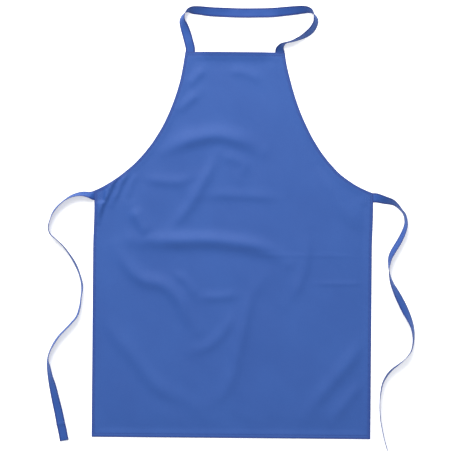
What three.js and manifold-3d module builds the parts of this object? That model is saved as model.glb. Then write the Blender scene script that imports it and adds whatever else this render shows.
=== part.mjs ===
// A woven cotton bib apron, laid out flat on its back: one panel with turned hems, a neck strap
// and two waist ties, all sewn together with lockstitch seams and box tacks.
// Millimetres. +X is to the right as seen from the front, +Y towards the neck and +Z up, out of the
// front of the cloth. Left and right are as seen from the front, too. z = 0 is the surface that the
// apron lies on.
import * as THREE from "three";
import { mergeVertices } from "three/addons/utils/BufferGeometryUtils.js";
import Module from "manifold-3d";

const wasm = await Module();
wasm.setup();

// The cut panel.
const apronWidth = 650; // across the skirt
const skirtLength = 574; // lower edge to the corner where a waist tie leaves
const bibHeight = 326; // that corner to the neck edge
const bibWidth = 232; // along the neck edge
// The armhole is one Bezier curve, and these are its handles at the neck edge and at the waist.
const neckHandle = { out: 14, down: 108 };
const waistHandle = { inward: 140, up: 54 };
const armholeSteps = 20;

// Cloth, turned hems and tape.
const clothThickness = 0.5;
const hemThickness = 1.0; // two turns of the cloth behind the panel
const bottomHemDepth = 10;
const topHemDepth = 10;
const sideHemDepth = 8;
const armholeHemDepth = 8;
const tapeWidth = 22; // the neck strap and the ties are the same folded tape
const tapeThickness = hemThickness;
const strapInset = 0.5; // from each corner of the neck edge to the strap
const neckSewnLength = 12; // of strap behind the neck edge
const tieSewnLength = 20; // of tie behind the side edge

// Sewing thread.
const threadWidth = 0.6;
const threadHeight = 0.4;
const seamFromFold = 2; // hem seams run this far from the hem's inner fold
const seamFromTapeEdge = 2.5;
const tackMargin = 2; // of tape left free around a box tack

// Clearances.
const sewnGap = 0.3; // between neighbours that lie edge to edge
const jointGap = 0.3; // between the two sides of a fold

// Heights of the layers.
const panelBack = hemThickness;
const panelFront = panelBack + clothThickness;
const waistY = skirtLength;
const neckY = skirtLength + bibHeight;
const sideX = apronWidth / 2;
const neckX = bibWidth / 2;
const strapX = neckX - strapInset - tapeWidth / 2; // the middle of the strap's sewn ends
const tieY = waistY - tapeWidth / 2; // the middle of a tie's sewn end

// Each route is a list of [x, y, roll]. Roll is the tape's lean about its own run, in degrees: 0
// lies front up, 90 stands with its left edge up, -90 with its right edge up, -180 lies back up.
// The points count from where the tape leaves the panel: a tie's from the side edge, and the
// strap's two halves from its two ends at the neck edge.
const leftTieRoute = [
  [0, 0, 0],
  [-4, 0, 24],
  [-12, 1.2, 50],
  [-27.5, 3, 61],
  [-45, 0.5, 72],
  [-62.5, -7.5, 79],
  [-81.5, -22.5, 80],
  [-94.5, -39, 82],
  [-101.5, -55, 82],
  [-106.5, -71, 81],
  [-106, -81, 83],
  [-101, -91.5, 85],
  [-89.5, -101.5, 84],
  [-70, -120, 81],
  [-49.5, -148, 77],
  [-35, -175.5, 76],
  [-27.5, -201.5, 77],
  [-26, -219, 78],
  [-28, -236.5, 78],
  [-31, -260, 79],
  [-38, -282, 79],
  [-51, -298, 79],
  [-65.5, -314, 80],
  [-80, -330, 79],
  [-91.5, -346.5, 79],
  [-100, -364, 80],
  [-104.5, -383, 80],
  [-102, -400.5, 64],
  [-98, -423.5, 50],
  [-87.5, -467.5, 30],
  [-75, -522.5, 19],
  [-64.5, -572, 15],
];
const rightTieRoute = [
  [0, 0, 0],
  [5, 0, 8],
  [13, -1.5, 21],
  [27.5, -5.5, 38],
  [42, -9.5, 52],
  [53.5, -16.5, 69],
  [65.5, -29, 80],
  [73, -39, 78],
  [76.5, -55, 74],
  [74.5, -69.5, 68],
  [67.5, -87, 64],
  [57.5, -106, 61],
  [46.5, -125, 60],
  [40, -140, 67],
  [38, -154.5, 79],
  [37, -166, 91],
  [39.5, -183.5, 106],
  [45, -201, 118],
  [55.5, -221.5, 131],
  [67.5, -244.5, 140],
  [76.5, -263, 142],
  [86.5, -284, 128],
  [92.5, -300, 115],
  [95.5, -317, 106],
  [95.5, -334.5, 102],
  [91.5, -353.5, 101],
  [84.5, -365.5, 99],
  [74.5, -377, 98],
  [60, -389, 101],
  [45.5, -400.5, 104],
  [34, -414, 105],
  [25, -431.5, 102],
  [21, -452, 99],
  [19, -472.5, 95],
  [18.5, -493, 94],
  [20, -516, 94],
  [25.5, -542.5, 94],
  [30.5, -562.5, 94],
  [37, -588, 94],
];
const leftStrapRoute = [
  [0, 0, 0],
  [0, 8, -4],
  [-3, 20, -9],
  [-9, 41.5, -16],
  [-14.5, 57.5, -27],
  [-19, 71, -50],
  [-17, 82.5, -72],
  [-12, 90, -90],
  [-5, 94.5, -113],
  [5.5, 96, -140],
  [20.5, 95.5, -151],
  [46.5, 93, -163],
  [75.5, 92, -172],
];
const rightStrapRoute = [
  [-95, 91, -178],
  [-48, 91.5, -178],
  [-19, 92.5, -172],
  [10, 95, -163],
  [33.5, 97.5, -153],
  [51, 99, -143],
  [65.5, 98, -124],
  [75, 92.5, -101],
  [81.5, 82.5, -70],
  [83, 70.5, -56],
  [76, 56, -48],
  [66, 45.5, -52],
  [51.5, 35.5, -66],
  [34, 27.5, -79],
  [22.5, 24, -86],
  [13.5, 21.5, -84],
  [5.5, 16, -62],
  [1.7, 10.5, -40],
  [0, 5, -14],
  [0, 0, 0],
];
const stepsPerPoint = 3; // a coarser strip would cross itself where it twists

const clothBlue = 0x3f63ad;
const threadBlue = 0x3458a4;
const cloth = () =>
  new THREE.MeshStandardMaterial({ color: clothBlue, roughness: 0.9, metalness: 0 });
const thread = () =>
  new THREE.MeshStandardMaterial({ color: threadBlue, roughness: 0.7, metalness: 0 });

const apron = new THREE.Group();
function add(name, geometry, material) {
  const mesh = new THREE.Mesh(geometry, material);
  mesh.name = name;
  apron.add(mesh);
}

// Solids for cutting and joining.
function solidOf(geometry) {
  const bare = geometry.clone();
  bare.deleteAttribute("normal");
  bare.deleteAttribute("uv");
  const merged = mergeVertices(bare, 1e-4);
  return new wasm.Manifold(
    new wasm.Mesh({
      numProp: 3,
      vertProperties: new Float32Array(merged.attributes.position.array),
      triVerts: new Uint32Array(merged.index.array),
    }),
  );
}
function geometryOf(solid) {
  const { numProp, numVert, vertProperties, triVerts } = solid.getMesh();
  const points = new Float32Array(numVert * 3);
  for (let i = 0; i < numVert; i++)
    points.set(vertProperties.subarray(i * numProp, i * numProp + 3), i * 3);
  return new THREE.BufferGeometry()
    .setAttribute("position", new THREE.BufferAttribute(points, 3))
    .setIndex(new THREE.BufferAttribute(new Uint32Array(triVerts), 1));
}

// A box given by its lowest and highest corners.
function block(low, high) {
  const size = high.map((value, k) => value - low[k]);
  const middle = high.map((value, k) => (value + low[k]) / 2);
  return new THREE.BoxGeometry(...size).translate(...middle);
}

// What lies between two heights along Y.
function cutBetween(geometry, lowY, highY) {
  const far = 2 * apronWidth;
  const slab = block([-far, lowY, -far], [far, highY, far]);
  return geometryOf(solidOf(geometry).intersect(solidOf(slab)));
}

// A point on the right armhole's cut edge, t from 0 at the neck edge to 1 at the waist.
const armhole = new THREE.CubicBezierCurve(
  new THREE.Vector2(neckX, neckY),
  new THREE.Vector2(neckX + neckHandle.out, neckY - neckHandle.down),
  new THREE.Vector2(sideX - waistHandle.inward, waistY + waistHandle.up),
  new THREE.Vector2(sideX, waistY),
);

// A flat strip that follows the armhole, between two distances in from its edge. side is 1 for
// the right armhole and -1 for the left.
function armholeStrip(side, outer, inner, lowZ, highZ) {
  const strip = new THREE.BoxGeometry(1, 1, highZ - lowZ, armholeSteps, 1, 1);
  const place = strip.attributes.position;
  for (let i = 0; i < place.count; i++) {
    const t = 0.5 - side * place.getX(i);
    const edge = armhole.getPoint(t);
    const along = armhole.getTangent(t);
    const inset = place.getY(i) > 0 ? inner : outer;
    const x = side * (edge.x + along.y * inset);
    place.setXYZ(i, x, edge.y - along.x * inset, (lowZ + highZ) / 2 + place.getZ(i));
  }
  return strip;
}

// The middle of a tape at t from 0 to 1, with its run, its width's direction and its face's.
// However it leans, the tape's lower edge stays on the surface.
function tapeFrame(route, t) {
  const here = route.getPoint(t);
  const nudge = 1e-4;
  const run = route
    .getPoint(Math.min(1, t + nudge))
    .sub(route.getPoint(Math.max(0, t - nudge)))
    .setZ(0)
    .normalize();
  const roll = THREE.MathUtils.degToRad(here.z);
  const left = new THREE.Vector3(-run.y, run.x, 0);
  const up = new THREE.Vector3(0, 0, 1);
  const across = left.clone().multiplyScalar(Math.cos(roll)).addScaledVector(up, Math.sin(roll));
  const face = run.clone().cross(across);
  const seamRoom = ((sewnGap + threadHeight) * (1 - Math.cos(roll))) / 2;
  const height =
    (tapeWidth / 2) * Math.abs(Math.sin(roll)) +
    (tapeThickness / 2) * Math.abs(Math.cos(roll)) +
    seamRoom;
  return { middle: new THREE.Vector3(here.x, here.y, height), across, face };
}

// A strip of the tape's run. sides are the places of its long lines across the tape's width, the
// right one first, and faces the places of its two faces. skip steps are left free at both ends.
function tapeStrip(route, sides, [lowFace, highFace], skip = 0) {
  const steps = (route.points.length - 1) * stepsPerPoint;
  const length = steps - 2 * skip;
  const lanes = sides.length - 1;
  const strip = new THREE.BoxGeometry(1, 1, highFace - lowFace, length, lanes, 1);
  const place = strip.attributes.position;
  for (let i = 0; i < place.count; i++) {
    const step = skip + Math.round((0.5 + place.getX(i)) * length);
    const lane = Math.round((0.5 + place.getY(i)) * lanes);
    const { middle, across, face } = tapeFrame(route, step / steps);
    middle.addScaledVector(across, sides[lane]);
    middle.addScaledVector(face, (lowFace + highFace) / 2 + place.getZ(i));
    place.setXYZ(i, middle.x, middle.y, middle.z);
  }
  return strip;
}

const placed = (points, startX, startY) =>
  points.map(([x, y, roll]) => new THREE.Vector3(startX + x, startY + y, roll));
const routeOf = (points) => new THREE.CatmullRomCurve3(points, false, "catmullrom");

// A tape with a seam along each edge of its face.
function addTape(name, route) {
  const edge = tapeWidth / 2;
  const seam = edge - seamFromTapeEdge;
  const half = threadWidth / 2;
  const back = -tapeThickness / 2;
  const front = tapeThickness / 2;
  add(name, tapeStrip(route, [-edge, -seam, 0, seam, edge], [back, front]), cloth());
  const faces = [front + sewnGap, front + sewnGap + threadHeight];
  add(`${name}_right_edge_seam`, tapeStrip(route, [-seam - half, -seam + half], faces, 1), thread());
  add(`${name}_left_edge_seam`, tapeStrip(route, [seam - half, seam + half], faces, 1), thread());
}

// A box tack: four sides and a cross of thread, on the front of the cloth. It holds down a sewn
// end of the given length along X and Y.
function boxTack(x, y, lengthX, lengthY) {
  const width = lengthX - 2 * tackMargin;
  const height = lengthY - 2 * tackMargin;
  const flat = (w, h, angle = 0) =>
    solidOf(new THREE.BoxGeometry(w, h, threadHeight).rotateZ(angle));
  const slope = Math.atan2(height, width);
  const cross = Math.hypot(width, height) - 2 * threadWidth;
  const edgeX = (width - threadWidth) / 2;
  const edgeY = (height - threadWidth) / 2;
  const tack = flat(cross, threadWidth, slope)
    .add(flat(cross, threadWidth, -slope))
    .add(flat(width, threadWidth).translate([0, edgeY, 0]))
    .add(flat(width, threadWidth).translate([0, -edgeY, 0]))
    .add(flat(threadWidth, height).translate([edgeX, 0, 0]))
    .add(flat(threadWidth, height).translate([-edgeX, 0, 0]));
  return geometryOf(tack.translate([x, y, panelFront + threadHeight / 2]));
}

// The panel is one cut of cloth. It is two solids that meet at the waist, where the apron folds.
function addPanel() {
  add(
    "skirt_panel",
    block([-sideX, 0, panelBack], [sideX, waistY - jointGap / 2, panelFront]),
    cloth(),
  );
  const bib = new THREE.Shape();
  const right = armhole.getPoints(armholeSteps);
  bib.setFromPoints([...right.map((p) => new THREE.Vector2(-p.x, p.y)), ...right.reverse()]);
  const slab = new THREE.ExtrudeGeometry(bib, { depth: clothThickness, bevelEnabled: false });
  slab.translate(0, 0, panelBack);
  add("bib_panel", cutBetween(slab, waistY + jointGap / 2, neckY + sewnGap), cloth());
}

// The turned hems behind the panel. They carry its edges, and the sewn ends of the strap and
// the ties fill the corners between them.
function addHems() {
  const tieBottom = waistY - tapeWidth;
  const strapInner = strapX - tapeWidth / 2;
  add("bottom_hem", block([-sideX, 0, 0], [sideX, bottomHemDepth, hemThickness]), cloth());
  add(
    "neck_edge_hem",
    block(
      [-strapInner + sewnGap, neckY - topHemDepth, 0],
      [strapInner - sewnGap, neckY, hemThickness],
    ),
    cloth(),
  );
  for (const [side, label] of [
    [-1, "left"],
    [1, "right"],
  ]) {
    const outer = side * sideX;
    const inner = side * (sideX - sideHemDepth);
    add(
      `${label}_side_hem`,
      block(
        [Math.min(outer, inner), bottomHemDepth + sewnGap, 0],
        [Math.max(outer, inner), tieBottom - sewnGap, hemThickness],
      ),
      cloth(),
    );
    const strip = armholeStrip(side, 0, armholeHemDepth, 0, hemThickness);
    const top = neckY - neckSewnLength - sewnGap;
    add(`${label}_armhole_hem`, cutBetween(strip, waistY + jointGap / 2, top), cloth());
  }
}

// The ends of the strap and the ties that are caught behind the panel, each with its box tack.
function addSewnEnds() {
  for (const [side, label] of [
    [-1, "left"],
    [1, "right"],
  ]) {
    const middleX = side * strapX;
    add(
      `neck_strap_${label}_sewn_end`,
      block(
        [middleX - tapeWidth / 2, neckY - neckSewnLength, 0],
        [middleX + tapeWidth / 2, neckY, tapeThickness],
      ),
      cloth(),
    );
    add(
      `neck_strap_${label}_box_tack`,
      boxTack(middleX, neckY - neckSewnLength / 2, tapeWidth, neckSewnLength),
      thread(),
    );
    const edge = side * sideX;
    const inner = side * (sideX - tieSewnLength);
    add(
      `${label}_waist_tie_sewn_end`,
      block(
        [Math.min(edge, inner), waistY - tapeWidth, 0],
        [Math.max(edge, inner), waistY - jointGap / 2, tapeThickness],
      ),
      cloth(),
    );
    add(
      `${label}_waist_tie_box_tack`,
      boxTack((edge + inner) / 2, tieY, tieSewnLength, tapeWidth),
      thread(),
    );
  }
}

// The hem seams, which show on the front as a row of thread along each edge.
function addSeams() {
  const front = [panelFront, panelFront + threadHeight];
  const half = threadWidth / 2;
  const sideSeamX = sideX - (sideHemDepth - seamFromFold);
  const bottomSeamY = bottomHemDepth - seamFromFold;
  const neckSeamY = neckY - (topHemDepth - seamFromFold);
  const neckSeamX = strapX - tapeWidth / 2 + tackMargin - sewnGap;
  add(
    "bottom_hem_seam",
    block(
      [-sideSeamX, bottomSeamY - half, front[0]],
      [sideSeamX, bottomSeamY + half, front[1]],
    ),
    thread(),
  );
  add(
    "neck_edge_seam",
    block([-neckSeamX, neckSeamY - half, front[0]], [neckSeamX, neckSeamY + half, front[1]]),
    thread(),
  );
  const tieTackBottom = waistY - tapeWidth + tackMargin;
  const neckTackBottom = neckY - neckSewnLength + tackMargin;
  const armholeSeam = armholeHemDepth - seamFromFold;
  for (const [side, label] of [
    [-1, "left"],
    [1, "right"],
  ]) {
    add(
      `${label}_side_seam`,
      block(
        [side * sideSeamX - half, bottomSeamY + half + sewnGap, front[0]],
        [side * sideSeamX + half, tieTackBottom - sewnGap, front[1]],
      ),
      thread(),
    );
    const strip = armholeStrip(side, armholeSeam - half, armholeSeam + half, ...front);
    add(
      `${label}_armhole_seam`,
      cutBetween(strip, waistY + jointGap / 2, neckTackBottom - sewnGap),
      thread(),
    );
  }
}

addPanel();
addHems();
addSewnEnds();
addSeams();
addTape("left_waist_tie", routeOf(placed(leftTieRoute, -sideX - jointGap, tieY)));
addTape("right_waist_tie", routeOf(placed(rightTieRoute, sideX + jointGap, tieY)));
addTape(
  "neck_strap",
  routeOf([
    ...placed(leftStrapRoute, -strapX, neckY + jointGap),
    ...placed(rightStrapRoute, strapX, neckY + jointGap),
  ]),
);

// The origin is the middle of the laid-out apron's footprint.
const footprint = new THREE.Box3().setFromObject(apron);
const middle = footprint.getCenter(new THREE.Vector3());
apron.position.set(-middle.x, -middle.y, -footprint.min.z);

export default apron;
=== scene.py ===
import math
import random

import bpy
import numpy as np
from mathutils import Matrix, Vector
from mathutils.geometry import delaunay_2d_cdt


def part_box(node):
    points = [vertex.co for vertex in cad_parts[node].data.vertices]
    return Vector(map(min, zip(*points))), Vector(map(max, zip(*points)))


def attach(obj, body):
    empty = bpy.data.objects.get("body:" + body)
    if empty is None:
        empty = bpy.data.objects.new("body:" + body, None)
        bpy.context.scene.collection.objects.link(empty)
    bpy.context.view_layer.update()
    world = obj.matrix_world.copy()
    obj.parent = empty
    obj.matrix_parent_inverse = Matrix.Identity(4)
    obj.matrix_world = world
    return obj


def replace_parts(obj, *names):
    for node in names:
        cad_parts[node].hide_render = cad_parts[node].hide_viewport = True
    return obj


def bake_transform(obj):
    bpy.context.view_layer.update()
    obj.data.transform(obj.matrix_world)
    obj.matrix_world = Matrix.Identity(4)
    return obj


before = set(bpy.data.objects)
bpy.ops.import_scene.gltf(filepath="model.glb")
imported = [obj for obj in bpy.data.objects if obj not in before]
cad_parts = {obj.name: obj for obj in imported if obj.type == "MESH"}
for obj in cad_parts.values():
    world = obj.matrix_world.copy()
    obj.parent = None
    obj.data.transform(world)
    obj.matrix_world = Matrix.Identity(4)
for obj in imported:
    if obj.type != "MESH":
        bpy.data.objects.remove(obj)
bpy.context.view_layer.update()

# The cloth is worked out in millimetres on the apron's own lines: x from its middle line to the
# right, y up from its lower edge, z up from the table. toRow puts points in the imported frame.
mm = 0.001
skirtLow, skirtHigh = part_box("skirt_panel")
bibLow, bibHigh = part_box("bib_panel")
middleX = (skirtLow.x + skirtHigh.x) / 2
lowerY = skirtLow.y
sideX = (skirtHigh.x - skirtLow.x) / 2 / mm
waistY = ((skirtHigh.y + bibLow.y) / 2 - lowerY) / mm
neckY = (bibHigh.y - lowerY) / mm


def toRow(points):
    return np.asarray(points, float) * mm + (middleX, lowerY, 0)


def rowPoint(x, y, z=0.0):
    return tuple(toRow((x, y, z)))


def smooth(value):
    share = np.clip(value, 0, 1)
    return share * share * (3 - 2 * share)


# Shader building


class Wire:
    # one output socket, so that maths on it reads as arithmetic
    def __init__(self, finish, socket):
        self.finish = finish
        self.socket = socket

    def maths(self, operation, *values):
        inputs = dict(enumerate(values))
        return self.finish.node("ShaderNodeMath", {"operation": operation}, inputs)

    def __add__(self, other):
        return self.maths("ADD", self, other)

    def __sub__(self, other):
        return self.maths("SUBTRACT", self, other)

    def __rsub__(self, other):
        return self.maths("SUBTRACT", other, self)

    def __mul__(self, other):
        return self.maths("MULTIPLY", self, other)

    def __truediv__(self, other):
        return self.maths("DIVIDE", self, other)

    __radd__ = __add__
    __rmul__ = __mul__

    def sine(self):
        return self.maths("SINE", self)

    def between(self):
        return self.finish.node("ShaderNodeClamp", {}, {0: self})


class Finish:
    # one material's node tree
    def __init__(self, name):
        self.material = bpy.data.materials.new(name)
        self.material.use_nodes = True
        self.tree = self.material.node_tree
        self.tree.nodes.clear()

    def node(self, kind, settings=None, values=None, output=0):
        made = self.tree.nodes.new(kind)
        for key, value in (settings or {}).items():
            setattr(made, key, value)
        for key, value in (values or {}).items():
            if isinstance(value, Wire):
                self.tree.links.new(value.socket, made.inputs[key])
            else:
                made.inputs[key].default_value = value
        return Wire(self, made.outputs[output])

    def mixColour(self, factor, first, second):
        # sockets 0, 6 and 7 are the factor and the two colours
        return self.node(
            "ShaderNodeMix", {"data_type": "RGBA"}, {0: factor, 6: first, 7: second}, 2
        )

    def scaled(self, vector, scale):
        return self.node("ShaderNodeVectorMath", {"operation": "MULTIPLY"}, {0: vector, 1: scale})

    def close(self, values):
        surface = self.node("ShaderNodeBsdfPrincipled", {}, values)
        output = self.tree.nodes.new("ShaderNodeOutputMaterial")
        self.tree.links.new(surface.socket, output.inputs["Surface"])
        return self.material


def srgb(red, green, blue):
    # a colour as it is seen on a screen, as linear light
    shares = [value / 255 for value in (red, green, blue)]
    return (
        *[s / 12.92 if s <= 0.04045 else ((s + 0.055) / 1.055) ** 2.4 for s in shares],
        1.0,
    )


twillLook = {
    "blue": srgb(22, 68, 139),
    "paleBlue": srgb(30, 76, 147),
    # a darker blue, for the ribs' tone and for the painted shade at folded edges and along seams
    "ribAndShadeBlue": srgb(8, 44, 117),
    "ribPitch": 0.75,  # mm between the twill's diagonal ribs
    "ribLean": 63,  # degrees from the weft
    "ribWobble": 2.2,
    "yarnPitch": 0.38,
    "wobbleScale": (700, 260, 0),  # how often each kind of unevenness comes in a metre
    "slubScale": (2200, 90, 0),
    "cloudScale": (9, 7, 0),
    "sheenTint": srgb(120, 150, 215),
    "roughness": 0.66,
    "sheen": 0.2,
    "weaveDepth": 0.09,  # mm
    "edgeShadeWidth": 5.5,  # mm in from a folded edge, over which painted shade darkens the colour
    "edgeShade": 1.15,
    "seamShadeWidth": 1.7,  # mm to either side of a seam, where the cloth is drawn down and painted shade darkens the colour
    "seamShade": 0.85,
}


def twillFinish(name, look):
    f = Finish(name)
    place = f.node("ShaderNodeUVMap", {"uv_map": "flat"}, {})
    across = f.node("ShaderNodeSeparateXYZ", {}, {0: place}, 0) / mm
    along = f.node("ShaderNodeSeparateXYZ", {}, {0: place}, 1) / mm
    edge = f.node("ShaderNodeAttribute", {"attribute_name": "edgeDistance"}, {}, 2)
    seam = f.node("ShaderNodeAttribute", {"attribute_name": "seamDistance"}, {}, 2)

    # ribs run up to the right, and each is made of short floats of warp yarn
    lean = math.radians(look["ribLean"])
    turn = 2 * math.pi / look["ribPitch"]
    wobble = f.node(
        "ShaderNodeTexNoise",
        {"noise_dimensions": "2D"},
        {"Vector": f.scaled(place, look["wobbleScale"]), "Scale": 1.0, "Detail": 2.0},
    )
    slant = across * (math.sin(lean) * turn) - along * (math.cos(lean) * turn)
    ribs = (slant + wobble * look["ribWobble"]).sine()
    yarns = (across * (2 * math.pi / look["yarnPitch"])).sine()
    weft = (along * (2 * math.pi / look["yarnPitch"])).sine()
    slub = f.node(
        "ShaderNodeTexNoise",
        {"noise_dimensions": "2D"},
        {"Vector": f.scaled(place, look["slubScale"]), "Scale": 1.0, "Detail": 3.0},
    )
    cloud = f.node(
        "ShaderNodeTexNoise",
        {"noise_dimensions": "2D"},
        {"Vector": f.scaled(place, look["cloudScale"]), "Scale": 1.0, "Detail": 5.0, "Roughness": 0.6},
    )
    height = ribs * 0.5 + yarns * weft * 0.25 + slub * 0.5

    body = f.mixColour(
        (cloud * 1.1 + slub * 0.5 - 0.3).between(),
        look["blue"],
        look["paleBlue"],
    )
    shade = f.mixColour((ribs * 0.16 + 0.1).between(), body, look["ribAndShadeBlue"])
    # painted shade: the colour darkens towards each folded edge
    edgeShadeMask = (1 - edge / look["edgeShadeWidth"]).between()
    # painted shade: the colour darkens along each seam's dent
    seamShadeMask = (1 - seam / look["seamShadeWidth"]).between()
    colour = f.mixColour(
        (edgeShadeMask * look["edgeShade"] + seamShadeMask * look["seamShade"]).between(), shade, look["ribAndShadeBlue"]
    )
    weave = f.node(
        "ShaderNodeBump",
        {},
        {"Strength": 0.6, "Distance": look["weaveDepth"] * mm, "Height": height},
    )
    return f.close(
        {
            "Base Color": colour,
            "Roughness": (slub * 0.12 + (look["roughness"] - 0.06)).between(),
            "Normal": weave,
            "Sheen Weight": look["sheen"],
            "Sheen Roughness": 0.45,
            "Sheen Tint": look["sheenTint"],
            "Specular IOR Level": 0.5,
        }
    )


threadLook = {
    "blue": srgb(38, 76, 148),
    "paleBlue": srgb(62, 98, 168),
    "roughness": 0.55,
    "twistPitch": 0.55,  # mm
    "twistDepth": 0.06,  # mm
    "fuzzScale": (3000, 600, 0),
}


def threadFinish(name, look):
    f = Finish(name)
    place = f.node("ShaderNodeUVMap", {"uv_map": "flat"}, {})
    across = f.node("ShaderNodeSeparateXYZ", {}, {0: place}, 0) / mm
    along = f.node("ShaderNodeSeparateXYZ", {}, {0: place}, 1) / mm
    turn = 2 * math.pi / look["twistPitch"]
    twist = (along * turn + across * (2 * turn)).sine()
    fuzz = f.node(
        "ShaderNodeTexNoise",
        {"noise_dimensions": "2D"},
        {"Vector": f.scaled(place, look["fuzzScale"]), "Scale": 1.0, "Detail": 2.0},
    )
    colour = f.mixColour(
        (twist * 0.3 + fuzz * 0.5 + 0.1).between(), look["blue"], look["paleBlue"]
    )
    ply = f.node(
        "ShaderNodeBump",
        {},
        {"Strength": 0.6, "Distance": look["twistDepth"] * mm, "Height": twist + fuzz * 0.4},
    )
    return f.close(
        {
            "Base Color": colour,
            "Roughness": (fuzz * 0.2 + (look["roughness"] - 0.1)).between(),
            "Normal": ply,
            "Sheen Weight": 0.1,
            "Specular IOR Level": 0.4,
        }
    )


tapeLook = {
    **twillLook,
    "blue": srgb(19, 65, 139),
    "paleBlue": srgb(31, 78, 151),
    # painted shade on the tape: darker and narrower at its folded edges, wider and stronger along its seams
    "ribAndShadeBlue": srgb(3, 36, 110),
    "edgeShadeWidth": 3.0,
    "seamShadeWidth": 1.9,
    "seamShade": 0.95,
}

clothFinish = twillFinish("royalBlueTwill", twillLook)
tapeFinish = twillFinish("royalBlueTape", tapeLook)
stitchFinish = threadFinish("blueThread", threadLook)
print("finishes made")


# Mesh building


def makePiece(name, points, faces, uv, edge, seam, finish):
    # points are in the apron's millimetres; uv, edge and seam hold a value for each point
    mesh = bpy.data.meshes.new(name)
    place = toRow(points)
    mesh.from_pydata(place.tolist(), [], faces)
    corners = np.empty(len(mesh.loops), np.int32)
    mesh.loops.foreach_get("vertex_index", corners)
    layer = mesh.uv_layers.new(name="flat")
    layer.data.foreach_set("uv", (np.asarray(uv, float) * mm)[corners].ravel().astype(np.float32))
    for label, values in [("edgeDistance", edge), ("seamDistance", seam)]:
        attribute = mesh.attributes.new(label, "FLOAT", "POINT")
        attribute.data.foreach_set("value", np.asarray(values, np.float32))
    mesh.polygons.foreach_set("use_smooth", np.ones(len(mesh.polygons), bool))
    mesh.materials.append(finish)
    mesh.update()
    piece = bpy.data.objects.new(name, mesh)
    bpy.context.scene.collection.objects.link(piece)
    return piece


def curveThrough(points, perSpan):
    # an even Catmull-Rom curve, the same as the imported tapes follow
    points = np.asarray(points, float)
    padded = np.vstack([2 * points[0] - points[1], points, 2 * points[-1] - points[-2]])
    made = []
    for i in range(1, len(padded) - 2):
        a, b, c, d = padded[i - 1 : i + 3]
        for step in range(perSpan):
            t = step / perSpan
            out, into = (c - a) / 2, (d - b) / 2
            made.append(
                b
                + out * t
                + (3 * (c - b) - 2 * out - into) * t**2
                + (2 * (b - c) + out + into) * t**3
            )
    made.append(points[-1])
    return np.array(made)


def lengthsAlong(points):
    steps = np.linalg.norm(np.diff(points[:, :2], axis=0), axis=1)
    return np.concatenate([[0], np.cumsum(steps)])


def evenly(points, spacing):
    # the same line with points a fixed length apart
    lengths = lengthsAlong(points)
    count = max(2, int(round(lengths[-1] / spacing)) + 1)
    wanted = np.linspace(0, lengths[-1], count)
    columns = [np.interp(wanted, lengths, points[:, k]) for k in range(points.shape[1])]
    return np.stack(columns, axis=1)


# The panel's cut, and how it lies

panelCut = {
    "neckHalf": 116.0,  # half the neck edge
    "neckHandle": (14.0, 108.0),  # the armhole curve's handle at the neck edge: out, down
    "waistHandle": (140.0, 54.0),  # and at the waist corner: inward, up
    "cloth": 0.5,
    "hem": 1.0,  # two turns of cloth behind the panel
    "sideHem": 8.0,
    "endHem": 10.0,  # the lower edge's and the neck edge's
    "seamFromFold": 2.0,
    "tieSewn": (20.0, 22.0),  # the tie's end behind the panel, across and up
    "strapSewn": (22.0, 12.0),
    "strapInset": 0.5,
    "foldRound": 0.8,  # how far in the folded edge is rounded
    "needle": 0.14,  # how deep a seam sinks into the cloth
    "tableClear": 0.02,
    "hemGap": 0.3,  # between a hem and a sewn end
    "hemFade": 3.0,
    "cornerFade": 10.0,  # where one kind of hem passes to the other
    "edgeRings": [0, 0.15, 0.4, 0.8, 2.8],  # rings of points, from the cut edge
    "foldRings": [-2.5, -2.0, -1.5, -0.4, 0, 0.4, 3.5],  # and from the hem's inner fold
    "outlineStep": 3.0,
    "fillStep": 4.2,
    "fillGap": 0.55,  # steps left free inside the last ring
    "armholeSteps": 400,
    "layShift": [  # the panel lies a little askew: height up the apron, shift to the right
        (0, -1.8),
        (440, -2.0),
        (530, 0.0),
        (562, 0.0),
        (592, -3.6),
        (616, -4.2),
        (640, -2.4),
        (664, -1.2),
        (690, 0.0),
        (735, 1.2),
        (820, 1.5),
        (884, 0.0),
        (1200, 0.0),
    ],
}

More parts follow.
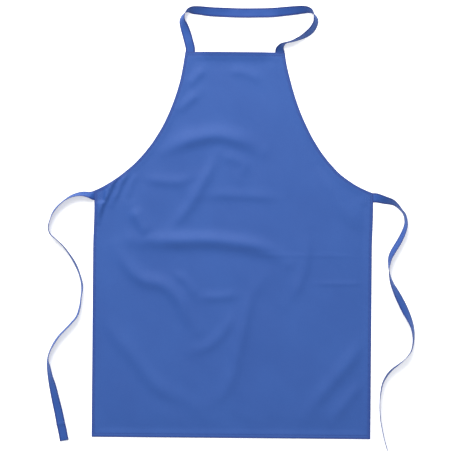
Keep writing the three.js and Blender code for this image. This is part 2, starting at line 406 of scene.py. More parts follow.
# Each crease's crest, its height, its width on the side towards the neck and on the other, and
# how much of it is left where it reaches an edge
creases = [
    ([(-165, 668), (-127, 684), (-92, 696), (-45, 704), (-6, 699), (33, 685), (64, 667)], 6.0, 21, 16, 0.3),
    ([(-39, 666), (-58, 613), (-87, 567), (-117, 521), (-148, 484)], 3.7, 14, 14, 0.3),
    ([(-211, 605), (-169, 598), (-122, 597), (-87, 611)], 2.3, 14, 12, 0.3),
    ([(-34, 660), (2, 650), (27, 634), (20, 606)], 2.0, 14, 13, 0.3),
    ([(-83, 562), (-36, 566), (18, 565), (65, 563), (112, 558)], 2.0, 15, 11, 0.3),
    (
        [(-237, 460), (-191, 458), (-128, 459), (-66, 460), (-4, 456), (58, 446), (97, 431), (127, 408)],
        7.4, 18, 18, 0.3,
    ),
    ([(-238, 537), (-218, 503), (-195, 468)], 4.4, 16, 15, 0.3),
    (
        [(-268, 448), (-248, 405), (-213, 370), (-159, 354), (-123, 321), (-104, 282), (-82, 249)],
        4.7, 18, 16, 0.4,
    ),
    ([(-77, 329), (-34, 328), (16, 334)], 2.2, 13, 11, 0.3),
    ([(-142, 387), (-106, 362), (-82, 323)], 2.2, 13, 12, 0.3),
    ([(9, 295), (-22, 244), (-56, 213), (-99, 200)], 2.4, 15, 13, 0.3),
    ([(74, 373), (44, 330), (29, 264), (14, 201), (3, 147), (-17, 104), (-51, 78)], 3.2, 18, 14, 0.3),
    ([(-302, 280), (-255, 219), (-215, 172), (-176, 122), (-129, 95), (-82, 79)], 3.2, 22, 17, 0.4),
    ([(196, 646), (232, 592), (256, 538), (291, 503), (321, 493)], 3.0, 22, 17, 0.4),
    ([(173, 490), (173, 421), (156, 358), (125, 311)], 2.0, 18, 12, 0.3),
    ([(315, 235), (278, 184), (236, 133), (201, 90), (174, 49)], 3.4, 19, 16, 0.4),
    ([(314, 134), (271, 91), (237, 40)], 2.4, 16, 14, 0.4),
    ([(-70, 860), (-94, 840), (-114, 818)], 3.0, 13, 11, 0.4),
    ([(-83, 805), (-116, 779), (-143, 754)], 3.0, 13, 11, 0.4),
    ([(-19, 854), (16, 853), (43, 843), (63, 825)], 1.8, 14, 11, 0.4),
    # three at the left tie's corner
    ([(-262, 615), (-275, 597), (-288, 577), (-299, 557), (-309, 536), (-317, 500)], 7.4, 9, 5.5, 0.95),
    ([(-240, 622), (-256, 596), (-271, 570), (-284, 540)], 4.2, 9, 6, 0.9),
    ([(-218, 622), (-238, 588), (-252, 550)], 2.2, 10, 9, 0.9),
    ([(182, 361), (250, 361), (318, 362)], 0.8, 6, 4, 0.6),  # marks of the way it was folded flat
    ([(20, 427), (160, 426), (318, 426)], 0.5, 6, 4, 0.6),
]

ridge = {
    "perSpan": 10,
    "step": 6.0,  # between the points of a crest line
    "reach": 3.2,  # widths from the crest at which a crease has ended
    "sideX": 0.44,  # the wider side faces the neck and the left
    "sideY": 0.9,
    "sideTurn": 3.0,  # how sharply one side's width passes to the other's
    "endTaper": 0.3,  # of the length, at each end
    "endHeight": 0.25,  # what is left of the height at the very end
}

waves = {
    "count": 16,
    "pitch": (40, 190),  # mm
    "height": 0.0011,  # of the pitch
    "bendPitch": (60, 120),
    "bendX": 1.3,
    "bendY": 1.1,
    "seed": 11,
}

surface = {
    "lift": 1.7,  # how far the middle of the panel stands off the table
    "liftReach": 70.0,
    "hemDrop": 14.0,  # how far in from a hem the cloth comes down off it
    "edgeHold": 48.0,  # creases fade over this distance to the edges
    "edgeShare": 0.3,  # what the slight waves keep at an edge
    "neckRise": 4.5,  # the straps draw the neck edge up between them
    "neckReach": 38.0,
    "neckFlat": 56.0,  # half the width that is drawn up fully
    "neckFade": 34.0,
    "riseSoftness": 0.3,  # a dent meets the table softly
    "tieHold": 7.0,  # nothing rises this close to a sewn end
    "pucker": 0.16,
    "puckerPitch": 17.0,
    "puckerReach": 7.0,
    "puckerWanderX": 31.0,
    "puckerWanderY": 23.0,
}


def armholePoints(count):
    # from the waist corner up to the neck edge, on the right
    out, down = panelCut["neckHandle"]
    inward, up = panelCut["waistHandle"]
    corners = [
        (sideX, waistY),
        (sideX - inward, waistY + up),
        (panelCut["neckHalf"] + out, neckY - down),
        (panelCut["neckHalf"], neckY),
    ]
    a, b, c, d = [np.array(p, float) for p in corners]
    t = np.linspace(0, 1, count)[:, None]
    return a * (1 - t) ** 3 + 3 * b * t * (1 - t) ** 2 + 3 * c * t**2 * (1 - t) + d * t**3


def panelRuns():
    # the cut edge, anticlockwise: each run's name, its line and its hem's depth
    arm = armholePoints(panelCut["armholeSteps"])
    neck = panelCut["neckHalf"]
    runs = [
        ("lower", [(-sideX, 0), (sideX, 0)], panelCut["endHem"]),
        ("rightSide", [(sideX, 0), (sideX, waistY)], panelCut["sideHem"]),
        ("rightArmhole", arm, panelCut["sideHem"]),
        ("neck", [(neck, neckY), (-neck, neckY)], panelCut["endHem"]),
        ("leftArmhole", arm[::-1] * (-1, 1), panelCut["sideHem"]),
        ("leftSide", [(-sideX, waistY), (-sideX, 0)], panelCut["sideHem"]),
    ]
    return [(name, evenly(np.array(line, float), 1.0), depth) for name, line, depth in runs]


def crossing(pointA, wayA, pointB, wayB):
    share = np.linalg.solve(np.column_stack([wayA, -wayB]), pointB - pointA)[0]
    return pointA + wayA * share


runs = panelRuns()
runCounts = [int(lengthsAlong(line)[-1] / panelCut["outlineStep"]) for _, line, _ in runs]
runNames = np.repeat([name for name, _, _ in runs], runCounts)
hemDepths = np.repeat([depth for _, _, depth in runs], runCounts)


def insetRing(fromEdge=0.0, hems=0.0):
    # the cut edge moved inwards by a distance and by a share of each run's hem depth, with the
    # runs meeting at mitred corners
    lines = []
    for _, line, depth in runs:
        way = np.gradient(line, axis=0)
        way /= np.linalg.norm(way, axis=1)[:, None]
        inward = np.stack([-way[:, 1], way[:, 0]], axis=1)
        lines.append(line + inward * (fromEdge + hems * depth))
    ring = []
    for i, line in enumerate(lines):
        before, after = lines[i - 1], lines[(i + 1) % len(lines)]
        out, into = line[1] - line[0], line[-1] - line[-2]
        start = crossing(before[-1], before[-1] - before[-2], line[0], out)
        end = crossing(line[-1], into, after[0], after[1] - after[0])
        lengths = lengthsAlong(line)
        first = np.dot(start - line[0], out) / np.linalg.norm(out)
        last = lengths[-1] + np.dot(end - line[-1], into) / np.linalg.norm(into)
        wanted = np.linspace(first, last, runCounts[i] + 1)[:-1]
        made = np.stack([np.interp(wanted, lengths, line[:, k]) for k in range(2)], axis=1)
        made[0] = start
        ring.append(made)
    return np.vstack(ring)


outline = insetRing()
rightEdge = armholePoints(panelCut["armholeSteps"])


def halfWidth(y):
    return np.where(y < waistY, sideX, np.interp(y, rightEdge[:, 1], rightEdge[:, 0]))


def edgeDistance(x, y):
    # to the nearest cut edge, in chunks that fit in memory
    line = evenly(np.vstack([outline, outline[:1]]), 1.5)
    found = np.empty(len(x))
    for start in range(0, len(x), 2000):
        part = slice(start, start + 2000)
        gaps = (x[part, None] - line[None, :, 0]) ** 2 + (y[part, None] - line[None, :, 1]) ** 2
        found[part] = np.sqrt(gaps.min(1))
    return found


def tapeDistance(x, y):
    # how far a point is from the nearest sewn end behind the panel
    far = np.abs(x)
    tieX, tieY = panelCut["tieSewn"]
    strapX, strapY = panelCut["strapSewn"]
    strapOuter = panelCut["neckHalf"] - panelCut["strapInset"]
    boxes = [
        (sideX - tieX, sideX, waistY - tieY, waistY),
        (strapOuter - strapX, strapOuter, neckY - strapY, neckY),
    ]
    gaps = [
        np.hypot(
            np.maximum(np.maximum(lowX - far, far - highX), 0),
            np.maximum(np.maximum(lowY - y, y - highY), 0),
        )
        for lowX, highX, lowY, highY in boxes
    ]
    return np.minimum(*gaps)


def layShift(y):
    keys = np.array(panelCut["layShift"], float)
    place = np.clip(np.searchsorted(keys[:, 0], y, side="right") - 1, 0, len(keys) - 2)
    share = smooth((y - keys[place, 0]) / (keys[place + 1, 0] - keys[place, 0]))
    return keys[place, 1] + (keys[place + 1, 1] - keys[place, 1]) * share


def creaseHeight(x, y, crest, height, wideUp, wideDown):
    # a ridge along the crest line, wider on the side towards the neck and the left
    line = evenly(curveThrough(crest, ridge["perSpan"]), ridge["step"])
    starts, ends = line[:-1], line[1:]
    run = ends - starts
    reach = ridge["reach"] * max(wideUp, wideDown)
    near = np.nonzero(
        (x > line[:, 0].min() - reach)
        & (x < line[:, 0].max() + reach)
        & (y > line[:, 1].min() - reach)
        & (y < line[:, 1].max() + reach)
    )[0]
    gapX = x[near, None] - starts[None, :, 0]
    gapY = y[near, None] - starts[None, :, 1]
    share = (gapX * run[:, 0] + gapY * run[:, 1]) / (run**2).sum(1)
    share = np.clip(share, 0, 1)
    gapX -= share * run[:, 0]
    gapY -= share * run[:, 1]
    square = gapX**2 + gapY**2
    best = square.argmin(1)
    rows = np.arange(len(near))
    gap = np.sqrt(square[rows, best])
    along = (best + share[rows, best]) / len(run)
    lean = gapY[rows, best] * ridge["sideY"] - gapX[rows, best] * ridge["sideX"]
    lean = lean / np.maximum(gap, 1e-6)
    wide = wideDown + (wideUp - wideDown) * (0.5 + 0.5 * np.tanh(ridge["sideTurn"] * lean))
    taper = smooth(along / ridge["endTaper"]) * smooth((1 - along) / ridge["endTaper"])
    strength = ridge["endHeight"] + (1 - ridge["endHeight"]) * taper
    made = np.zeros(len(x))
    made[near] = height * strength * np.exp(-((gap / wide) ** 2))
    return made


def restlessness(x, y):
    # slight waves all over
    draw = random.Random(waves["seed"])
    total = np.zeros(len(x))
    for _ in range(waves["count"]):
        pitch = draw.uniform(*waves["pitch"])
        heading = draw.uniform(0, math.pi)
        phase = draw.uniform(0, 2 * math.pi)
        sweep = (x * math.cos(heading) + y * math.sin(heading)) * 2 * math.pi / pitch
        bend = waves["bendX"] * np.sin(x / draw.uniform(*waves["bendPitch"]))
        bend = bend + waves["bendY"] * np.sin(y / draw.uniform(*waves["bendPitch"]))
        total += pitch * waves["height"] * np.sin(sweep + phase + bend)
    return total


def frontHeight(x, y, edge, hemDepth):
    # the front of the cloth over the table
    behind = tapeDistance(x, y)
    support = np.maximum(
        1 - smooth((edge - hemDepth) / surface["hemDrop"]), 1 - smooth(behind / surface["hemDrop"])
    )
    calm = smooth(behind / surface["tieHold"])
    inward = smooth(edge / surface["edgeHold"])
    hold = surface["edgeShare"] + (1 - surface["edgeShare"]) * inward
    total = surface["lift"] * smooth(edge / surface["liftReach"]) + restlessness(x, y) * hold
    for crest, height, wideUp, wideDown, share in creases:
        crease = creaseHeight(x, y, crest, height, wideUp, wideDown)
        total = total + (share + (1 - share) * inward) * crease
    drawn = np.clip(1 - (neckY - y) / surface["neckReach"], 0, 1) ** 2
    outward = smooth((np.abs(x) - surface["neckFlat"]) / surface["neckFade"])
    total = total * calm + surface["neckRise"] * drawn * (1 - outward)
    soft = surface["riseSoftness"]
    rise = (total + np.sqrt(total**2 + soft)) / 2 - math.sqrt(soft) / 2
    phase = (x + y) * 2 * math.pi / surface["puckerPitch"]
    phase = phase + 1.5 * np.sin(x / surface["puckerWanderX"]) + np.sin(y / surface["puckerWanderY"])
    seam = hemDepth - panelCut["seamFromFold"]
    near = np.exp(-(((edge - seam) / surface["puckerReach"]) ** 2))
    pucker = surface["pucker"] * (1 + np.sin(phase)) * near * calm
    return panelCut["cloth"] + panelCut["hem"] * support + np.maximum(rise, 0) + pucker


def hemBehind(x, y):
    # 1 where the hem lies behind the panel, 0 where a sewn end takes its place
    return np.clip((tapeDistance(x, y) - panelCut["hemGap"]) / panelCut["hemFade"], 0, 1)


def nearestHem(x, y):
    # the hem depth of the nearest edge, softly from one kind to the other
    ends = np.minimum(y, neckY - y)
    sides = halfWidth(y) - np.abs(x)
    fade = panelCut["cornerFade"]
    share = smooth((sides - ends + fade) / (2 * fade))
    return panelCut["sideHem"] + (panelCut["endHem"] - panelCut["sideHem"]) * share


def makePanel():
    fromEdge = panelCut["edgeRings"]
    fromFold = panelCut["foldRings"]
    seamRing = len(fromEdge) + fromFold.index(-panelCut["seamFromFold"])
    foldRing = len(fromEdge) + fromFold.index(0)
    rings = [insetRing(d) for d in fromEdge] + [insetRing(d, 1) for d in fromFold]
    insets = [np.full(len(outline), float(d)) for d in fromEdge] + [hemDepths + d for d in fromFold]
    count = len(outline)

    # the middle is filled with an even triangle pattern
    step = panelCut["fillStep"]
    rows = np.arange(0, neckY, step * math.sqrt(0.75))
    row = np.arange(-sideX, sideX, step)
    fill = [np.column_stack([row + (i % 2) * step / 2, row * 0 + y]) for i, y in enumerate(rows)]
    fill = np.vstack(fill)
    inside = np.abs(fill[:, 0]) < halfWidth(fill[:, 1])
    fill = fill[inside]
    distance = edgeDistance(fill[:, 0], fill[:, 1])
    clear = fromFold[-1] + panelCut["fillGap"] * step
    keep = distance > nearestHem(fill[:, 0], fill[:, 1]) + clear
    fill, distance = fill[keep], distance[keep]
    border = [Vector(p) for p in rings[-1]]
    made = delaunay_2d_cdt(
        border + [Vector(p) for p in fill], [], [list(range(count))], 1, 1e-5
    )
    source = [ids[0] for ids in made[3]]
    middle = [[source[i] for i in face] for face in made[2]]

    flat = np.vstack([*rings, fill])
    edge = np.concatenate([*insets, distance])
    depth = np.concatenate([*[hemDepths] * len(rings), nearestHem(fill[:, 0], fill[:, 1])])
    top = frontHeight(flat[:, 0], flat[:, 1], np.maximum(edge, panelCut["foldRound"]), depth)
    ringOf = np.concatenate([np.repeat(np.arange(len(rings)), count), np.full(len(fill), len(rings))])
    hemmed = (ringOf <= foldRing) * hemBehind(flat[:, 0], flat[:, 1])
    thick = panelCut["cloth"] + panelCut["hem"] * hemmed
    # the folded edge is round
    short = np.clip(1 - edge / panelCut["foldRound"], 0, 1)
    drop = thick / 2 * (1 - np.sqrt(1 - short**2))
    needle = panelCut["needle"] * (ringOf == seamRing)
    front = top - drop - needle
    back = top - thick + drop + needle * (thick > 1)
    laidX = flat[:, 0] + layShift(flat[:, 1])
    frontPoints = np.column_stack([laidX, flat[:, 1], front])
    backPoints = np.column_stack([laidX, flat[:, 1], np.maximum(back, panelCut["tableClear"])])

    # the first ring is shared by front and back
    total = len(flat)
    points = np.vstack([frontPoints, backPoints[count:]])
    behind = np.concatenate([np.arange(count), np.arange(total, 2 * total - count)])
    faces = []
    for ring in range(len(rings) - 1):
        a = ring * count + np.arange(count)
        b = ring * count + (np.arange(count) + 1) % count
        quads = np.stack([a, b, b + count, a + count], axis=1)
        faces += quads.tolist()
        faces += behind[quads[:, ::-1]].tolist()
    shift = (len(rings) - 1) * count
    faces += [[i + shift for i in face] for face in middle]
    faces += [[int(behind[i + shift]) for i in reversed(face)] for face in middle]
    uv = np.vstack([flat, flat[count:]])
    seam = np.abs(edge - depth + panelCut["seamFromFold"])
    edge, seam = [np.concatenate([values, values[count:]]) for values in (edge, seam)]
    return makePiece("apronPanel", points, faces, uv, edge, seam, clothFinish)


# Stitches

stitch = {
    "pitch": 3.0,
    "length": 2.55,
    "radius": 0.23,
    "sunk": 0.12,
    "wander": 0.06,  # how far a stitch strays to either side
    "shares": (0, 0.1, 0.32, 0.68, 0.9, 1.0),  # places along a stitch
    "sizes": (0.35, 0.8, 1, 1, 0.8, 0.35),  # its girth there
    "rises": (-1, 0.0, 0.75, 0.75, 0.0, -1),  # and its height, as it dives in at its ends
    "sides": 6,
    "flatness": 0.75,
    "bedded": 0.02,  # how deep the front thread's line lies in the cloth
    "bobbinHeight": 0.14,  # the back thread's line over the table
}


def stitchShapes(line, normal, draw):
    # short rounded bars of thread along a line on the cloth, each diving in at its ends
    lengths = np.concatenate([[0], np.cumsum(np.linalg.norm(np.diff(line, axis=0), axis=1))])
    count = int(lengths[-1] // stitch["pitch"])
    if count < 1:
        return np.zeros((0, 3)), [], np.zeros((0, 2))
    pitch = lengths[-1] / count
    shares, sizes, rises = [np.array(stitch[key]) for key in ("shares", "sizes", "rises")]
    starts = (np.arange(count) + 0.5) * pitch - stitch["length"] / 2
    at = starts[:, None] + shares * stitch["length"]
    at = np.clip(at, 0, lengths[-1])

    def pick(values, where):
        return np.stack([np.interp(where, lengths, values[:, k]) for k in range(3)], axis=-1)

    place = pick(line, at)
    up = pick(normal, at)
    run = pick(line, at + 0.3) - pick(line, at - 0.3)
    run /= np.maximum(np.linalg.norm(run, axis=-1, keepdims=True), 1e-9)
    side = np.cross(run, up)
    side /= np.maximum(np.linalg.norm(side, axis=-1, keepdims=True), 1e-9)
    stray = np.array([[draw.uniform(-1, 1), draw.uniform(-1, 1)] for _ in range(count)])
    sway = stitch["wander"] * (stray[:, :1] + stray[:, 1:] * (shares - 0.5) * 2)
    place = place + side * sway[..., None] + up * (rises * stitch["sunk"])[None, :, None]
    sides = stitch["sides"]
    around = np.arange(sides) * 2 * math.pi / sides
    radius = (stitch["radius"] * sizes)[None, :, None, None]
    rings = place[:, :, None, :] + radius * (
        side[:, :, None, :] * np.cos(around)[None, None, :, None]
        + up[:, :, None, :] * (stitch["flatness"] * np.sin(around))[None, None, :, None]
    )
    points = rings.reshape(-1, 3)
    uv = np.stack(
        [
            np.broadcast_to(np.arange(sides) * 0.2, rings.shape[:3]).ravel(),
            np.broadcast_to(at[..., None], rings.shape[:3]).ravel(),
        ],
        axis=1,
    )
    one = []
    for ring in range(len(shares) - 1):
        for k in range(sides):
            n = (k + 1) % sides
            a, b = ring * sides, (ring + 1) * sides
            one.append([a + k, a + n, b + n, b + k])
    ends = [list(range(sides))[::-1], [(len(shares) - 1) * sides + k for k in range(sides)]]
    per = len(shares) * sides
    faces = [[i + per * n for i in face] for n in range(count) for face in one + ends]
    return points, faces, uv


def makeStitches(name, lines, seed):
    # lines are pairs of points on the cloth and the cloth's normals there
    draw = random.Random(seed)
    points, faces, uv = [], [], []
    for line, normal in lines:
        madePoints, madeFaces, madeUv = stitchShapes(line, normal, draw)
        shift = sum(len(p) for p in points)
        faces += [[i + shift for i in face] for face in madeFaces]
        points.append(madePoints)
        uv.append(madeUv)
    points = np.vstack(points)
    far = np.full(len(points), 50.0)
    return makePiece(name, points, faces, np.vstack(uv), far, far, stitchFinish)


def panelLines(flat, depth):
    # a seam's two faces: the needle thread in front and the bobbin thread behind
    flat = evenly(np.asarray(flat, float), 1.0)
    edge = np.full(len(flat), depth - panelCut["seamFromFold"])
    top = frontHeight(flat[:, 0], flat[:, 1], edge, np.full(len(flat), depth))
    laid = flat[:, 0] + layShift(flat[:, 1])
    up = np.tile((0.0, 0.0, 1.0), (len(flat), 1))
    thick = panelCut["cloth"] + panelCut["hem"]
    front = np.column_stack([laid, flat[:, 1], top - stitch["bedded"]])
    behind = np.maximum(top - thick, 0) + stitch["bobbinHeight"]
    back = np.column_stack([laid, flat[:, 1], behind])
    return [(front, up), (back, -up)]


def makeHemStitches():
    seamLoop = insetRing(-panelCut["seamFromFold"], 1)
    tieBottom = waistY - panelCut["tieSewn"][1]
    tackBottom = neckY - panelCut["strapSewn"][1]
    strapInner = panelCut["neckHalf"] - panelCut["strapInset"] - panelCut["strapSewn"][0]
    made = {}
    for run, piece in [
        ("lower", "lowerHemStitches"),
        ("leftSide", "leftSideStitches"),
        ("rightSide", "rightSideStitches"),
        ("leftArmhole", "leftArmholeStitches"),
        ("rightArmhole", "rightArmholeStitches"),
        ("neck", "neckEdgeStitches"),
    ]:
        ids = np.nonzero(runNames == run)[0]
        line = seamLoop[np.append(ids, (ids[-1] + 1) % len(outline))]
        if "Side" in run:
            line = line[line[:, 1] < tieBottom]
        if "Armhole" in run:
            line = line[(line[:, 1] > waistY + 0.5) & (line[:, 1] < tackBottom + 1)]
        if run == "neck":
            line = line[np.abs(line[:, 0]) < strapInner]
        depth = hemDepths[ids[0]]
        made[run] = makeStitches(piece, panelLines(line, depth), len(made) + seeds["hems"])
    return made


tack = {"margin": 2.0}


def boxTackLines(x, y, sizeX, sizeY):
    # a rectangle and its diagonals, in front and behind
    halfX, halfY = sizeX / 2 - tack["margin"], sizeY / 2 - tack["margin"]
    corners = [(-halfX, -halfY), (halfX, -halfY), (halfX, halfY), (-halfX, halfY)]
    pairs = [(0, 1), (1, 2), (2, 3), (3, 0), (0, 2), (1, 3)]
    lines = []
    thick = panelCut["cloth"] + panelCut["hem"]
    for a, b in pairs:
        line = np.array([corners[a], corners[b]], float) + (x, y)
        line = evenly(line, 1.0)
        up = np.tile((0.0, 0.0, 1.0), (len(line), 1))
        shift = layShift(line[:, 1])
        laid = line[:, 0] + shift
        front = np.column_stack([laid, line[:, 1], np.full(len(line), thick - stitch["bedded"])])
        back = np.column_stack([laid, line[:, 1], np.full(len(line), stitch["bobbinHeight"])])
        lines += [(front, up), (back, -up)]
    return lines


# The neck strap and the ties: folded tape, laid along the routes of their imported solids

tape = {
    "width": 22.0,
    "thickness": 1.0,
    "seamFromEdge": 2.5,
    "threadRoom": 0.7,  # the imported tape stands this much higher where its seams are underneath
    "step": 2.5,
    "rollWander": 2.5,  # degrees
    "bow": 0.9,  # mm that the middle of the width stands out of its edges
    "wave": 0.35,
    "gap": 0.3,
    "perSpan": 24,
    "sewnSteps": 40,
    "sewnStart": 0.4,
    "freeFrom": 2.0,  # past a sewn end, where the tape begins to move freely
    "freeFade": 40.0,
    "wavePitch": (45, 120),
    "bowLeast": 0.65,
    "bowSwing": 0.35,
    "endCrease": 1.6,  # a fold across the left tie, near its end
    "endCreaseWide": 4.0,
    "endPress": 0.7,  # a cut end is pressed thinner
    "stitchSunk": 0.1,
    "stitchFromEnd": 2.5,
    "stitchFromSewn": 1.5,
}

seeds = {"hems": 20, "neckStrap": 31, "leftWaistTie": 32, "rightWaistTie": 33, "tapes": 40, "tacks": 60}

# Each point is x, y and lean in degrees, from where the tape leaves the panel
leftTieRoute = [
    (0, 0, 0), (-4, 0, 24), (-12, 1.2, 50), (-27.5, 3, 61), (-45, 0.5, 72),
    (-62.5, -7.5, 79), (-81.5, -22.5, 80), (-94.5, -39, 82), (-101.5, -55, 82),
    (-106.5, -71, 81), (-106, -81, 83), (-101, -91.5, 85), (-89.5, -101.5, 84),
    (-70, -120, 81), (-49.5, -148, 77), (-35, -175.5, 76), (-27.5, -201.5, 77),
    (-26, -219, 78), (-28, -236.5, 78), (-31, -260, 79), (-38, -282, 79),
    (-51, -298, 79), (-65.5, -314, 80), (-80, -330, 79), (-91.5, -346.5, 79),
    (-100, -364, 80), (-104.5, -383, 80), (-102, -400.5, 64), (-98, -423.5, 50),
    (-87.5, -467.5, 30), (-75, -522.5, 19), (-64.5, -572, 15),
]
rightTieRoute = [
    (0, 0, 0), (5, 0, 8), (13, -1.5, 21), (27.5, -5.5, 38), (42, -9.5, 52),
    (53.5, -16.5, 69), (65.5, -29, 80), (73, -39, 78), (76.5, -55, 74), (74.5, -69.5, 68),
    (67.5, -87, 64), (57.5, -106, 61), (46.5, -125, 60), (40, -140, 67), (38, -154.5, 79),
    (37, -166, 91), (39.5, -183.5, 106), (45, -201, 118), (55.5, -221.5, 131),
    (67.5, -244.5, 140), (76.5, -263, 142), (86.5, -284, 128), (92.5, -300, 115),
    (95.5, -317, 106), (95.5, -334.5, 102), (91.5, -353.5, 101), (84.5, -365.5, 99),
    (74.5, -377, 98), (60, -389, 101), (45.5, -400.5, 104), (34, -414, 105),
    (25, -431.5, 102), (21, -452, 99), (19, -472.5, 95), (18.5, -493, 94),
    (20, -516, 94), (25.5, -542.5, 94), (30.5, -562.5, 94), (37, -588, 94),
]
leftStrapRoute = [
    (0, 0, 0), (0, 8, -4), (-3, 20, -9), (-9, 41.5, -16), (-14.5, 57.5, -27),
    (-19, 71, -50), (-17, 82.5, -72), (-12, 90, -90), (-5, 94.5, -113), (5.5, 96, -140),
    (20.5, 95.5, -151), (46.5, 93, -163), (75.5, 92, -172),
]
rightStrapRoute = [
    (-95, 91, -178), (-48, 91.5, -178), (-19, 92.5, -172), (10, 95, -163), (33.5, 97.5, -153),
    (51, 99, -143), (65.5, 98, -124), (75, 92.5, -101), (81.5, 82.5, -70), (83, 70.5, -56),
    (76, 56, -48), (66, 45.5, -52), (51.5, 35.5, -66), (34, 27.5, -79), (22.5, 24, -86),
    (13.5, 21.5, -84), (5.5, 16, -62), (1.7, 10.5, -40), (0, 5, -14), (0, 0, 0),
]


def placedRoute(points, x, y):
    return [(x + px, y + py, lean) for px, py, lean in points]


def tapeSection():
    # the tape's outline across its width: one folded edge, one edge where two folds meet, and a
    # dent along each seam
    half, thick = tape["width"] / 2, tape["thickness"] / 2
    seam = half - tape["seamFromEdge"]
    dents = {seam - 0.5: 0, seam - 0.22: 0.1, seam: 0.17, seam + 0.22: 0.1, seam + 0.5: 0}
    face = [(-half + 0.5, 0.08), (-half + 1.1, 0.0)]
    face += [(-w, dents[w]) for w in sorted(dents, reverse=True)]
    face += [(w, 0.0) for w in (-5.0, -2.5, 0.0, 2.5, 5.0)]
    face += [(w, dents[w]) for w in sorted(dents)]
    face += [(half - 1.1, 0.0), (half - 0.5, 0.08)]
    front = [(w, thick - dent) for w, dent in face]
    back = [(w, dent - thick) for w, dent in reversed(face)]
    folded = [(half - 0.12, thick * 0.6), (half, 0.0), (half - 0.12, -thick * 0.6)]
    open_ = [
        (-half + 0.12, -thick * 0.7),
        (-half, -thick * 0.3),
        (-half + 0.6, 0.0),
        (-half, thick * 0.3),
        (-half + 0.12, thick * 0.7),
    ]
    return np.array(front + folded + back + open_)


def layTape(route, sewnStart, sewnEnd, seed, creaseAt=None):
    # the tape's middle line with its width's direction and its face's at each step
    points = curveThrough(route, tape["perSpan"])
    if sewnStart:
        first = points[0]
        back = (points[0] - points[1])[:2]
        back /= np.linalg.norm(back)
        steps = np.linspace(sewnStart, tape["sewnStart"], tape["sewnSteps"])[:, None]
        points = np.vstack([np.hstack([first[:2] + back * steps, steps * 0]), points])
    if sewnEnd:
        last = points[-1]
        onward = (points[-1] - points[-2])[:2]
        onward /= np.linalg.norm(onward)
        steps = np.linspace(tape["sewnStart"], sewnEnd, tape["sewnSteps"])[:, None]
        points = np.vstack([points, np.hstack([last[:2] + onward * steps, steps * 0])])
    points = evenly(points, tape["step"])
    s = lengthsAlong(points)
    free = smooth((s - sewnStart - tape["freeFrom"]) / tape["freeFade"])
    if sewnEnd:
        free = free * smooth((s[-1] - s - sewnEnd - tape["freeFrom"]) / tape["freeFade"])
    draw = random.Random(seed)
    swings = [(draw.uniform(*tape["wavePitch"]), draw.uniform(0, 6.28)) for _ in range(5)]
    sway = sum(np.sin(s * 2 * math.pi / pitch + phase) for pitch, phase in swings[:2]) / 2
    wave = sum(np.sin(s * 2 * math.pi / pitch + phase) for pitch, phase in swings[2:4]) / 2
    pitch, phase = swings[4]
    bowing = tape["bowLeast"] + tape["bowSwing"] * np.sin(s * 2 * math.pi / pitch + phase)
    run = np.gradient(points[:, :2], axis=0)
    run /= np.linalg.norm(run, axis=1)[:, None]
    roll = np.radians(points[:, 2] + tape["rollWander"] * sway * free)
    left = np.column_stack([-run[:, 1], run[:, 0], np.zeros(len(run))])
    across = left * np.cos(roll)[:, None] + np.array((0, 0, 1.0)) * np.sin(roll)[:, None]
    face = np.cross(np.column_stack([run, np.zeros(len(run))]), across)
    height = (
        tape["width"] / 2 * np.abs(np.sin(roll))
        + tape["thickness"] / 2 * np.abs(np.cos(roll))
        + tape["threadRoom"] * (1 - np.cos(roll)) / 2
    )
    middle = np.column_stack([points[:, :2], height])
    middle += face * (tape["wave"] * wave * free)[:, None]
    bow = tape["bow"] * bowing * free * np.sign(np.sin(roll) * -1 + 1e-9)
    if creaseAt:
        gap = np.abs(s - (s[-1] - creaseAt))
        middle += face * (tape["endCrease"] * np.exp(-gap / tape["endCreaseWide"]))[:, None]
    return {"s": s, "middle": middle, "across": across, "face": face, "bow": bow}


def onTape(laid, w, h):
    # points on the tape at w across its width and h out of its middle plane
    half = tape["width"] / 2
    out = h + laid["bow"] * (1 - (w / half) ** 2)
    return laid["middle"] + laid["across"] * w + laid["face"] * np.reshape(out, (-1, 1))


def makeTape(name, laid):
    section = tapeSection()
    count, sides = len(laid["s"]), len(section)
    half = tape["width"] / 2
    flatter = np.ones(count)
    flatter[[0, -1]] = tape["endPress"]
    columns = [onTape(laid, w, h * flatter) for w, h in section]
    points = np.stack(columns, axis=1)
    lowest = points[:, :, 2].min(1)
    laid["raised"] = np.maximum(panelCut["tableClear"] - lowest, 0)
    points[:, :, 2] += laid["raised"][:, None]
    faces = []
    for i in range(count - 1):
        for k in range(sides):
            n = (k + 1) % sides
            a, b = i * sides, (i + 1) * sides
            faces.append([a + k, b + k, b + n, a + n])
    faces.append(list(range(sides)))
    faces.append([(count - 1) * sides + k for k in range(sides)][::-1])
    uv = np.stack(
        [
            np.broadcast_to(section[:, 0] + 3 * half, (count, sides)).ravel(),
            np.broadcast_to(laid["s"][:, None], (count, sides)).ravel(),
        ],
        axis=1,
    )
    edge = np.broadcast_to(half - np.abs(section[:, 0]), (count, sides)).ravel()
    seam = np.abs(edge - tape["seamFromEdge"])
    return makePiece(name, points.reshape(-1, 3), faces, uv, edge, seam, tapeFinish)


